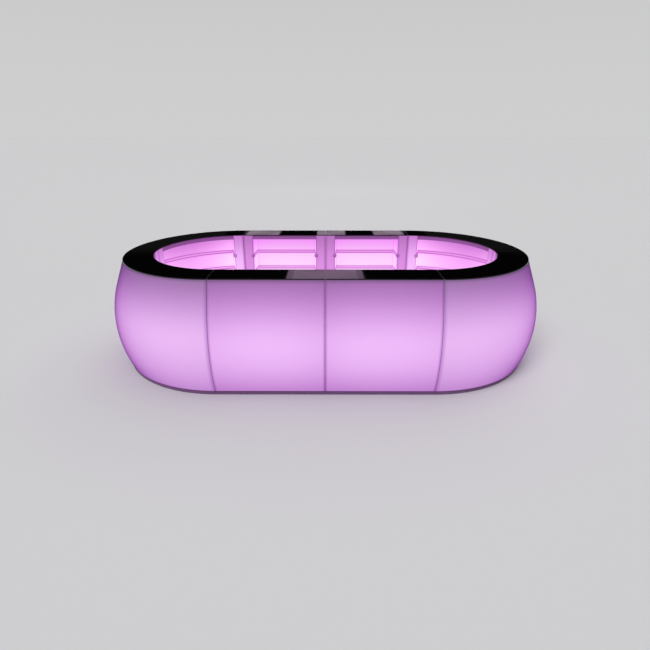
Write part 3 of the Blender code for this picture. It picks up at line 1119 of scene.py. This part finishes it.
    def straight(self) -> Mesh:
        """Moulding with its inside, its ledges, its knobs and the lamp's hatch.

        Returns:
            The closed mesh.
        """
        sizes = self.sizes
        ledges = [form for height in self.ledge_heights for form in self.ledges(height)]
        outside = carved(self.body(0.0), [("DIFFERENCE", self.pocket(0.0))], self.edge)
        inside = carved(self.body(self.wall), [("DIFFERENCE", self.pocket(self.wall))])
        hatch = post(self.module, 0.0, sizes.lamp_out, sizes.hatch_radius - self.hatch_lip,
                     sizes.shell_bottom - self.overcut, sizes.shell_bottom + self.overcut)
        return carved(outside, [
            *[("UNION", form) for form in ledges + self.knobs()],
            ("DIFFERENCE", inside), ("DIFFERENCE", hatch)])

    def mark(self, straight: Mesh) -> None:
        """Number the regions of the straight form.

        Args:
            straight: Mesh whose faces receive the numbers.
        """
        numbers = straight.attributes.new("region", "INT", "FACE")
        for face in straight.polygons:
            numbers.data[face.index].value = self.region_of(face).value

    def region_of(self, face: bpy.types.MeshPolygon) -> Region:
        """Region that a face of the straight form belongs to.

        Args:
            face: Face of the straight form.

        Returns:
            The region.
        """
        along, out, height = face.center
        edge, deep_edge, hair = self.edge / 2, self.edge, self.hair
        under_top = out < self.sizes.depth - deep_edge
        if under_top and height > self.sizes.shell_top - edge and face.normal.z > 0.5:
            return Region.DECK
        if out < -hair:
            aside = abs(along) - self.opening - self.knob_shift
            reach = min(math.hypot(aside, height - level) for level in self.ledge_heights)
            return Region.KNOB if reach > self.knob_core else Region.PILLAR
        if out < self.band_depth + deep_edge and height > self.recess_top + edge:
            return Region.BAND if abs(along) < self.opening + edge else Region.PILLAR
        if out < edge:
            return Region.PILLAR
        inside = out < self.recess_depth + deep_edge and abs(along) < self.opening + deep_edge
        if not inside or not self.recess_bottom - deep_edge < height < self.recess_top + deep_edge:
            return Region.BARREL
        wall_gap = min(self.recess_depth - out, self.opening - out * self.slope - abs(along))
        near_ledge = min(abs(height - level) for level in self.ledge_heights)
        on_ledge = near_ledge < self.ledge_tall / 2 and wall_gap > hair
        return Region.LEDGE if on_ledge else Region.RECESS


@dataclass
class CounterTop(ModulePart):
    """Black counter top panel of one module."""

    stem: str = "counter_top_"
    node: str = "top_"
    slot: str = "black_top"
    edge: float = 0.0015

    def straight(self) -> Mesh:
        """Panel with rounded edges."""
        end, high = self.module.half - self.sizes.panel_seam, (self.sizes.depth, self.sizes.height)
        return carved(block((-end, 0.0, self.sizes.panel_bottom), (end, *high)), [], self.edge)


@dataclass
class BaseFrame(ModulePart):
    """Steel base of one module: a rim and a deck with bosses, bolt holes and a lamp hole."""

    stem: str = "base_frame_"
    node: str = "base_"
    slot: str = "base_steel"
    wall: float = 0.003
    boss_radius: float = 0.011
    bore_radius: float = 0.0055
    boss_bottom: float = 0.0088
    hatch_clearance: float = 0.005
    hole_sides: int = 24

    def straight(self) -> Mesh:
        """Tray that opens downwards, with everything that the feet, bolts and lamp need.

        Returns:
            The closed mesh.
        """
        sizes, module = self.sizes, self.module
        end, deck = module.half - sizes.seam, sizes.base_top - self.wall
        rim = block((-end, self.wall, 0.0), (end, sizes.base_depth, sizes.base_top))
        inside = block((self.wall - end, 2 * self.wall, -self.overcut),
                       (end - self.wall, sizes.base_depth - self.wall, deck))
        feet = [(module, module.half - sizes.foot_inset, out) for out in sizes.foot_out]
        bosses = [post(*foot, self.boss_radius, self.boss_bottom, deck + self.wall / 2)
                  for foot in feet]
        bores = [post(*foot, self.bore_radius, -self.overcut, deck) for foot in feet]
        hatch = post(module, 0.0, sizes.lamp_out, sizes.hatch_radius + self.hatch_clearance,
                     deck - self.overcut, deck + self.overcut)
        hole = [(self.bore_radius, side * self.overcut / 2) for side in (-1, 1)]
        lying = Matrix.Rotation(QUARTER_TURN, 4, "Y")
        ends = [Matrix.Translation((side * module.half, sizes.bolt_out, sizes.base_top / 2))
                for side in (-1, 1)]
        holes = [turned(hole, self.hole_sides, place @ lying) for place in ends]
        return carved(carved(rim, [], self.edge), [
            ("DIFFERENCE", inside), *[("UNION", boss) for boss in bosses],
            *[("DIFFERENCE", cutter) for cutter in (*bores, hatch, *holes)]])


@dataclass
class Fitting:
    """Small piece of which the counter holds several alike.

    Attributes:
        stem: Start of the names of the CAD nodes that it stands for.
        slot: Slot of the record that its finish belongs to.
    """

    stem: str = ""
    slot: str = ""

    def nodes_of(self, module: Module) -> list[str]:
        """Names of the CAD nodes in a module."""
        return [self.stem + module.name]

    def form(self, low: Vector, high: Vector) -> Mesh:
        """Mesh of the piece, with its axis on Z, from the corners of one CAD node."""
        raise NotImplementedError

    def place(self, module: Module, low: Vector, high: Vector) -> Matrix:
        """Place of the piece in the counter: upright over the floor, unless a class says more."""
        middle = (low + high) / 2
        return Matrix.Translation((middle.x, middle.y, 0.0))

    def dress(self, mesh: Mesh, finishes: dict[str, Material]) -> None:
        """Give the mesh its finish."""
        mesh.materials.append(finishes["zinc"])

    def make(self, modules: list[Module], finishes: dict[str, Material]) -> list[Piece]:
        """Put a copy in the place of each CAD node.

        Args:
            modules: Modules of the ring.
            finishes: Materials of the fittings by name.

        Returns:
            Each piece with its slot and with the body that it rides on.
        """
        bodies = frame["record"]["behaviour"]["bodies"]
        nodes = [(node, module) for module in modules for node in self.nodes_of(module)]
        form = self.form(*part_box(nodes[0][0]))
        smooth(form)
        self.dress(form, finishes)
        pieces = []
        for node, module in nodes:
            mesh = form.copy()
            mesh.transform(self.place(module, *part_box(node)))
            piece = added("fitted_" + node, mesh)
            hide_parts(node)
            body = next(name for name, members in bodies.items() if node in members)
            pieces.append((piece, self.slot, body))
        return pieces


@dataclass
class LevellingFoot(Fitting):
    """Foot that winds out of a boss: a scalloped pad on a threaded stem."""

    stem: str = "foot_"
    slot: str = "zinc_foot"
    stem_radius: float = 0.005
    thread_depth: float = 0.0006
    pitch: float = 0.0015
    pad_thickness: float = 0.008
    pad_edge: float = 0.002
    sole: float = 0.0025
    groove: float = 0.0007
    sides: int = 48
    scallops: int = 12
    scallop_radius: float = 0.0032
    scallop_sides: int = 16

    def nodes_of(self, module: Module) -> list[str]:
        """Names of the two feet of a module."""
        return [f"{self.stem}{module.name}_{side}" for side in ("inner", "outer")]

    def form(self, low: Vector, high: Vector) -> Mesh:
        """Mesh of one foot, wound in as the CAD node is.

        Args:
            low: Lowest corner of one of the CAD nodes.
            high: Highest corner of the same node.

        Returns:
            The closed mesh.
        """
        radius, core, groove = (high.x - low.x) / 2, self.stem_radius - self.thread_depth, self.groove
        bottom, pad_top = low.z, low.z + self.pad_thickness
        sole_top = bottom + self.sole
        turns = int((high.z - pad_top - self.pitch) / self.pitch)
        profile = [
            (radius - self.pad_edge, bottom), (radius - groove, bottom + groove),
            (radius - groove, sole_top), (radius - 2 * groove, sole_top),
            (radius - 2 * groove, sole_top + groove), (radius, sole_top + groove),
            (radius, pad_top - self.pad_edge), (radius - 0.3 * self.pad_edge, pad_top - groove),
            (radius - self.pad_edge, pad_top), (self.stem_radius, pad_top),
            *thread(self.stem_radius, self.thread_depth, self.pitch, pad_top, turns),
            (core, high.z - self.pitch / 2), (core - self.thread_depth, high.z)]
        notch = [(self.scallop_radius, sole_top + 2 * groove), (self.scallop_radius, high.z)]
        return carved(turned(profile, self.sides, Matrix()), [
            ("DIFFERENCE", turned(notch, self.scallop_sides, place))
            for place in around(self.scallops, radius + self.scallop_radius / 2)])


@dataclass
class TieBolt(Fitting):
    """Bolt through the end walls of two bases: hexagon head, washers and nut on a thread."""

    stem: str = "bolt_"
    slot: str = "zinc_bolt"
    shank_radius: float = 0.005
    thread_depth: float = 0.0006
    pitch: float = 0.0015
    head: float = 0.006
    washer: float = 0.0012
    chamfer: float = 0.0008
    sides: int = 40
    head_sides: int = 6

    def place(self, module: Module, low: Vector, high: Vector) -> Matrix:
        """Across the seam at the module's far end."""
        turn = module.facing - (module.half / module.radius if module.curved else 0.0)
        return (Matrix.Translation((low + high) / 2) @ Matrix.Rotation(turn, 4, "Z")
                @ Matrix.Rotation(QUARTER_TURN, 4, "X"))

    def form(self, low: Vector, high: Vector) -> Mesh:
        """Mesh of one bolt with its washers and its nut.

        Args:
            low: Lowest corner of one of the CAD nodes.
            high: Highest corner of the same node.

        Returns:
            The closed mesh.
        """
        radius, end = (high.z - low.z) / 2, max(high.x - low.x, high.y - low.y) / 2
        grip = end - self.head
        seat, flat = grip + self.washer, radius - self.chamfer / 4
        turns = int(2 * grip / self.pitch)
        profile = [
            (radius, -seat), (radius, -grip), (self.shank_radius, -grip),
            *thread(self.shank_radius, self.thread_depth, self.pitch, -grip, turns),
            (self.shank_radius, grip), (radius, grip), (radius, seat)]
        hexagon = [
            (radius - self.chamfer, seat - self.washer / 2), (flat, seat + self.chamfer / 2),
            (flat, end - self.chamfer), (radius - 2 * self.chamfer, end)]
        return carved(turned(profile, self.sides, Matrix()), [
            ("UNION", turned(hexagon, self.head_sides, Matrix.Diagonal((1.0, 1.0, side, 1.0))))
            for side in (-1.0, 1.0)])


@dataclass
class LampColumn(Fitting):
    """Lamp of one shell: an opal tube on a hatch plate, with a power inlet underneath."""

    stem: str = "lamp_"
    slot: str = "lamp_opal"
    tube_radius: float = 0.022
    inlet_radius: float = 0.010
    inlet_length: float = 0.012
    inlet_wall: float = 0.0022
    plate: float = 0.003
    neck_radius: float = 0.038
    neck: float = 0.012
    collar: float = 0.014
    rounding: float = 0.001
    dome: float = 0.008
    dome_steps: int = 7
    sides: int = 64
    pins: int = 3
    pin_radius: float = 0.0012
    pin_circle: float = 0.0042
    pin_sides: int = 12

    def heights(self, low: Vector) -> tuple[float, float, float]:
        """Heights of the plate's underside, the neck's top and the tube's foot."""
        neck_top = low.z + self.inlet_length + self.plate + self.neck
        return low.z + self.inlet_length, neck_top, neck_top + self.collar

    def form(self, low: Vector, high: Vector) -> Mesh:
        """Mesh of one lamp.

        Args:
            low: Lowest corner of one of the CAD nodes.
            high: Highest corner of the same node.

        Returns:
            The closed mesh.
        """
        under, neck_top, tube_foot = self.heights(low)
        flange, edge, plate_top = (high.x - low.x) / 2, self.rounding, under + self.plate
        tube, inlet, neck = self.tube_radius, self.inlet_radius, self.neck_radius
        socket, floor = inlet - self.inlet_wall, under - edge
        angles = [QUARTER_TURN * step / self.dome_steps for step in range(1, self.dome_steps)]
        profile = [
            (socket, floor), (socket, low.z + edge / 2), (socket + edge / 2, low.z),
            (inlet - edge / 2, low.z), (inlet, low.z + edge / 2), (inlet, under),
            (flange - edge, under), (flange, under + edge), (flange, plate_top - edge),
            (flange - edge / 2, plate_top), (neck, plate_top), (neck, neck_top - edge),
            (neck - edge, neck_top), (tube + 3 * edge, neck_top),
            (tube + 2 * edge, neck_top + 3 * edge), (tube + 2 * edge, tube_foot - edge),
            (tube + edge, tube_foot), (tube, tube_foot),
            *((tube - self.dome * (1 - math.cos(angle)), high.z - self.dome * (1 - math.sin(angle)))
              for angle in angles), (tube - self.dome, high.z)]
        pin = [(self.pin_radius, floor + edge), (self.pin_radius, low.z + 3 * edge),
               (self.pin_radius / 2, low.z + 2 * edge)]
        return carved(turned(profile, self.sides, Matrix()), [
            ("UNION", turned(pin, self.pin_sides, place))
            for place in around(self.pins, self.pin_circle)])

    def dress(self, mesh: Mesh, finishes: dict[str, Material]) -> None:
        """Give the tube, the plate and the inlet their finishes.

        Args:
            mesh: Mesh of one lamp.
            finishes: Materials of the fittings by name.
        """
        order = ("coated", "opal", "inlet")
        for name in order:
            mesh.materials.append(finishes[name])
        under, _, tube_foot = self.heights(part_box(self.stem + "front_left")[0])
        tube_start, plate_start = tube_foot - self.rounding / 4, under - self.rounding / 2
        for face in mesh.polygons:
            height = face.center.z
            wide = face.center.xy.length > self.tube_radius
            part = "opal" if height > tube_start else "inlet"
            if wide or plate_start < height <= tube_start:
                part = "coated"
            face.material_index = order.index(part)


@dataclass
class Studio:
    """Floor, surroundings, lights and camera.

    Attributes:
        SUNS: Name, strength, spread, elevation and azimuth of each soft sun, in degrees.
        PINK: Colour of the ceiling panels over the front.
        ROSE: Colour of the ceiling panels over the back.
        WHITE: Colour of the ceiling panels over the ends.
        mirror_margin: How far the panels' images reach beyond the counter tops.
        inner_margin: The same on the service side.
    """

    SUNS: ClassVar[tuple] = (("key", 2.1, 30.0, 52.0, -125.0), ("fill", 0.9, 60.0, 58.0, 50.0))
    PINK: ClassVar[Colour] = (0.98, 0.64, 1.0)
    ROSE: ClassVar[Colour] = (1.0, 0.76, 0.98)
    WHITE: ClassVar[Colour] = (1.0, 1.0, 0.96)

    sizes: RingSizes
    focal_pixels: float = 453.9
    pitch: float = math.radians(22.645)
    yaw: float = 0.003
    place: tuple[float, float, float] = (0.010, -4.811, 2.231)
    sensor: float = 36.0
    panel_height: float = 4.0
    mirror_margin: float = 0.1
    inner_margin: float = 0.05
    pale: Colour = (0.62, 0.62, 0.625)
    zenith: Colour = (0.40, 0.40, 0.41)
    floor_colour: Colour = (0.50, 0.50, 0.505)
    floor_half: float = 400.0
    flag_reach: float = 60.0
    flag_gap: float = 0.02
    flag_thickness: float = 0.01

    def camera(self) -> None:
        """Place the camera where the photograph was taken from."""
        data = bpy.data.cameras.new("camera")
        data.sensor_width = self.sensor
        data.lens = self.focal_pixels * self.sensor / PHOTO_SIZE
        camera = added("camera", data)
        camera.location = self.place
        camera.rotation_euler = (QUARTER_TURN - self.pitch, 0.0, self.yaw)
        bpy.context.scene.camera = camera

    @staticmethod
    def staged(name: str, finish: str, mesh: Mesh, colour: Colour) -> bpy.types.Object:
        """Matt sheet of the studio.

        Args:
            name: Name of the sheet.
            finish: Name of its material.
            mesh: Its mesh.
            colour: Its colour.

        Returns:
            The sheet.
        """
        material, graph, shader = principled(finish)
        graph.fill(shader, {
            "Base Color": (*colour, 1.0), "Roughness": 0.9, "Specular IOR Level": 0.0})
        mesh.materials.append(material)
        sheet = added(name, mesh)
        return sheet

    def sheets(self) -> None:
        """Plain pale floor, and a black sheet overhead that only the polished tops mirror."""
        ground = bmesh.new()
        bmesh.ops.create_grid(ground, x_segments=1, y_segments=1, size=self.floor_half)
        self.staged("floor", "pale_floor", mesh_from(ground), self.floor_colour)
        reach, under = self.flag_reach, self.panel_height + self.flag_gap
        over = block((-reach, -reach, under), (reach, reach, under + self.flag_thickness))
        flag = self.staged("flag", "black_flag", over, BLACK)
        flag.visible_camera = flag.visible_diffuse = flag.visible_shadow = False

    def sun(self, name: str, strength: float, spread: float, elevation: float,
            azimuth: float) -> None:
        """Add a soft sun.

        Args:
            name: Name of the sun.
            strength: Its brightness.
            spread: Its width in degrees.
            elevation: Its angle above the horizon in degrees.
            azimuth: Its direction from +X in degrees.
        """
        data = bpy.data.lights.new(name, "SUN")
        data.energy = strength
        data.angle = math.radians(spread)
        up, aside = math.radians(elevation), math.radians(azimuth)
        towards = Vector((math.cos(aside) * math.cos(up), math.sin(aside) * math.cos(up),
                          math.sin(up)))
        added(name, data).rotation_euler = towards.to_track_quat("Z", "Y").to_euler()

    def mirrored_panel(self, name: str, across: Pair, along: Pair,
                       radiance: float, colour: Colour) -> None:
        """Hang a ceiling panel whose image in the counter top covers a given patch.

        Args:
            name: Name of the panel.
            across: Lowest and highest X of the patch on the counter top.
            along: Lowest and highest Y of the patch.
            radiance: Brightness of the panel.
            colour: Colour of its light.
        """
        eye, top = Vector(self.place), self.sizes.height
        reach = (eye.z - top + self.panel_height - top) / (eye.z - top)
        (left, right), (near, far) = (
            [centre + (limit - centre) * reach for limit in limits]
            for centre, limits in ((eye.x, across), (eye.y, along)))
        data = bpy.data.lights.new(name, "AREA")
        data.shape = "RECTANGLE"
        data.size, data.size_y = right - left, far - near
        data.energy = radiance * math.pi * data.size * data.size_y
        data.color = colour
        panel = added(name, data)
        panel.location = ((left + right) / 2, (near + far) / 2, self.panel_height)
        panel.visible_camera = False

    def lights(self) -> None:
        """Two soft suns, and the ceiling panels that the tops reflect."""
        for sun in self.SUNS:
            self.sun(*sun)
        inner = self.sizes.radius - self.inner_margin
        outer = self.sizes.radius + self.sizes.depth + self.mirror_margin
        front, back, ends = (-outer, -inner), (inner, outer), (-self.mirror_margin, outer)
        for name, across, along, radiance, colour in (
                ("front_panel_left", (-0.335, -0.28), front, 0.55, self.PINK),
                ("front_panel", (-0.28, 0.28), front, 0.79, self.PINK),
                ("front_panel_right", (0.28, 0.335), front, 0.55, self.PINK),
                ("back_panel_left", (-0.985, -0.575), back, 0.75, self.ROSE),
                ("back_panel_middle", (-0.105, 0.245), back, 0.75, self.ROSE),
                ("back_panel_right", (0.601, 0.97), back, 0.75, self.ROSE),
                ("end_panel_left", (-2.3, -1.25), ends, 0.014, self.WHITE),
                ("end_panel_right", (1.25, 2.3), ends, 0.014, self.WHITE)):
            self.mirrored_panel(name, across, along, radiance, colour)

    def world(self) -> None:
        """Pale surroundings all round."""
        world = bpy.data.worlds.new("studio")
        bpy.context.scene.world = world
        world.use_nodes = True
        graph = Graph(world.node_tree)
        direction = graph.node("ShaderNodeTexCoord").outputs["Generated"]
        rise = graph.node("ShaderNodeSeparateXYZ", {0: direction}).outputs["Z"]
        graph.fill(world.node_tree.nodes["Background"], {
            "Color": graph.mix(graph.between(rise, 0.0, 1.0), self.pale, self.zenith),
            "Strength": 1.0})

    def build(self) -> None:
        """Set up the whole studio."""
        self.camera()
        self.sheets()
        self.world()
        self.lights()
        bpy.context.scene.view_settings.view_transform = "Standard"


@dataclass
class BarCounter:
    """The whole counter: its modules, their finishes and the fittings from the frame."""

    FILM: ClassVar[Colour] = (0.85, 0.77, 0.872)
    # Recess glow, with painted shade along the recess's side edges.
    RECESS: ClassVar[dict[str, float]] = {
        "Lamp Height": 0.67, "Reach Up": 0.37, "Reach Down": 0.65, "Line Level": 0.6,
        "Line Width": 0.008}
    # Pillar glow, with painted shade at the seams and at the recess's edges.
    PILLAR: ClassVar[dict[str, float]] = {
        "Side Fall": 0.0, "Seam Level": 0.5, "Seam Width": 0.03, "Line Level": 0.35}
    # Ledge glow, with a painted shade line along each ledge.
    LEDGE: ClassVar[dict[str, float]] = {
        "Side Fall": 0.1, "Ledge Low": 0.634, "Ledge High": 0.844, "Ledge Core": 0.004,
        "Ledge Level": 0.28}
    EVEN: ClassVar[dict[str, float]] = {"Lamp Height": 1.06, "Side Fall": 0.0, "Cloud": 0.02}

    sizes: RingSizes
    effects: EffectLibrary

    def shell_finishes(self, curved: bool) -> dict[Region, Material]:
        """Materials of a shell's regions.

        Args:
            curved: Whether the shell is a quarter turn, whose lamp stands in a wider space.

        Returns:
            Material by region.
        """
        kind = "corner" if curved else "straight"
        # Barrel glow, with painted shade at the seams and just under the counter top's edge.
        barrel = {"Seam Level": 0.45, "Top Edge": self.sizes.shell_top, "Top Level": 0.25}
        if curved:
            looks = {
                Region.BARREL: GlowFinish(
                    "lit_barrel_corner", (0.918, 0.566, 0.996),
                    {**barrel, "Lamp Height": 0.56, "Reach Up": 0.375, "Reach Down": 0.70},
                    (0.60, 1.0, 0.51), self.FILM, skin=(0.135, 0.15, 0.115)),
                Region.PILLAR: GlowFinish(
                    "lit_pillar_corner", (0.83, 0.46, 0.87),
                    {**self.PILLAR, "Lamp Height": 0.68, "Reach Up": 0.40}, (0.50, 1.0, 0.47)),
                Region.RECESS: GlowFinish(
                    "lit_recess_corner", (0.90, 0.39, 0.88), {**self.RECESS, "Side Fall": -1.3},
                    (0.60, 1.0, 0.50), corner_level=0.45, corner_reach=0.02),
            }
        else:
            looks = {
                Region.BARREL: GlowFinish(
                    "lit_barrel_straight", (0.912, 0.552, 0.996),
                    {**barrel, "Lamp Height": 0.51, "Reach Up": 0.41, "Reach Down": 0.57,
                     "Top Width": 0.04}, (0.58, 1.0, 0.50), self.FILM, skin=(0.13, 0.12, 0.115)),
                Region.PILLAR: GlowFinish(
                    "lit_pillar_straight", (0.64, 0.24, 0.66),
                    {**self.PILLAR, "Lamp Height": 0.65, "Reach Up": 0.54}, (0.83, 1.0, 0.82)),
                Region.RECESS: GlowFinish(
                    "lit_recess_straight", (0.92, 0.625, 0.89), {**self.RECESS, "Side Fall": 0.12},
                    (0.16, 1.0, 0.08), corner_level=0.45, corner_reach=0.02),
            }
        looks |= {
            Region.LEDGE: GlowFinish(
                "lit_ledge_" + kind, (0.78, 0.40, 0.78), {**self.RECESS, **self.LEDGE},
                (0.31, 1.0, 0.31), corner_level=0.6, corner_reach=0.015),
            Region.KNOB: GlowFinish(
                "lit_knob_" + kind, (0.24, 0.07, 0.27), self.EVEN, corner_level=0.6),
            # The band under the counter top glows only faintly: painted shade under the top's lip.
            Region.BAND: GlowFinish("lit_band_" + kind, (0.18, 0.05, 0.195), self.EVEN),
            Region.DECK: GlowFinish(
                "lit_deck_" + kind, (0.60, 0.25, 0.66), self.EVEN, corner_level=1.0),
        }
        return {region: finish.material(self.effects) for region, finish in looks.items()}

    def build_modules(self, modules: list[Module]) -> list[Piece]:
        """Build every module's shell, top and base.

        Args:
            modules: Modules of the ring.

        Returns:
            Each piece with its slot in the record and the body that it rides on.
        """
        shell_finishes = {curved: self.shell_finishes(curved) for curved in (False, True)}
        laminate = LaminateFinish("polished_laminate").material(self.effects)
        # The base's purple is partly its own coat and partly painted glow: the purple light of the
        # shells is painted into its colour.
        coat_and_glow = WornFinish("base_coat_and_painted_glow", linear(104, 68, 112), linear(140, 112, 146))
        top_finishes = {Region.BARREL: laminate}
        base_finishes = {Region.BARREL: coat_and_glow.material(self.effects)}
        layer = PathLayer()
        return [
            part(self.sizes, module).make(layer, finishes) for module in modules
            for part, finishes in (
                (MouldedShell, shell_finishes[module.curved]), (CounterTop, top_finishes),
                (BaseFrame, base_finishes))]

    def build_fittings(self, modules: list[Module]) -> list[Piece]:
        """Build the lamps, the bolts and the levelling feet.

        Args:
            modules: Modules of the ring.

        Returns:
            Each piece with its slot in the record and the body that it rides on.
        """
        lamp_low, lamp_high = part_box("lamp_front_left")
        looks = {
            "zinc": WornFinish("zinc_plate", linear(176, 178, 184), linear(118, 114, 104),
                               0.9, roughness=(0.28, 0.42)),
            "coated": WornFinish("lamp_plate_coating", linear(196, 190, 200),
                                 linear(150, 144, 152)),
            "inlet": WornFinish("inlet_moulding", linear(34, 33, 36), linear(70, 68, 72),
                                roughness=(0.35, 0.5)),
            "opal": OpalFinish("opal_cover", (0.55, 0.36, 0.62), lamp_low.z, lamp_high.z),
        }
        finishes = {name: finish.material(self.effects) for name, finish in looks.items()}
        return [piece for fitting in (LampColumn(), TieBolt(), LevellingFoot())
                for piece in fitting.make(modules, finishes)]

    def build(self) -> None:
        """Build and dress the whole counter."""
        modules = ring_modules(self.sizes)
        for piece, slot, body in self.build_modules(modules) + self.build_fittings(modules):
            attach(piece, body)
            log.info("%s: %d faces on %s", piece.name, len(piece.data.polygons), body)


def main() -> None:
    """Set up the studio and build the counter."""
    logging.basicConfig(level=logging.INFO, format="%(message)s")
    sizes = RingSizes.from_frame()
    Studio(sizes).build()
    BarCounter(sizes, EffectLibrary()).build()


if __name__ == "__main__":
    main()
